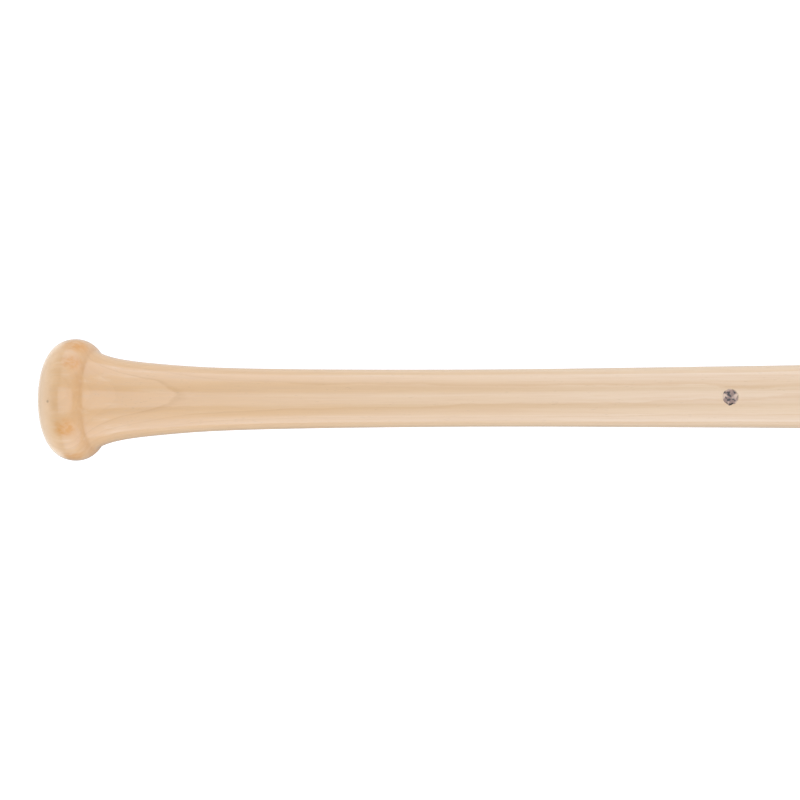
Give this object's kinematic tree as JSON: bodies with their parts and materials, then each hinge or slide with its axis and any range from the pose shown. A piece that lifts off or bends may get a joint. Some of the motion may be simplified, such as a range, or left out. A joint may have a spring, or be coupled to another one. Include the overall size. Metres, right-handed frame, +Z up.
{
  "type": "baseball bat",
  "caption": "One-piece turned wooden baseball bat with a flared knob, slim grip, long taper, cupped barrel end and an ink dot on the handle, in clear gloss lacquer.",
  "frame": {"origin": "bottom centre of the bounding box, on the ground the bat lies on, half way along its length", "axes": "+Z up; +X along the bat from the knob to the barrel end, within 0.36 degrees, because the bat rests on its knob and its barrel; +Y across. The ink dot, on the face grain, is on top"},
  "size_m": [0.8638, 0.0635, 0.064],
  "materials": {
    "lacquered_wood": "pale straight-grained maple under a clear gloss lacquer",
    "ink": "blotchy black ink soaked into the wood, under the same lacquer"
  },
  "bodies": {
    "root": {"turned_billet": "lacquered_wood", "ink_dot": "ink"}
  },
  "joints": []
}
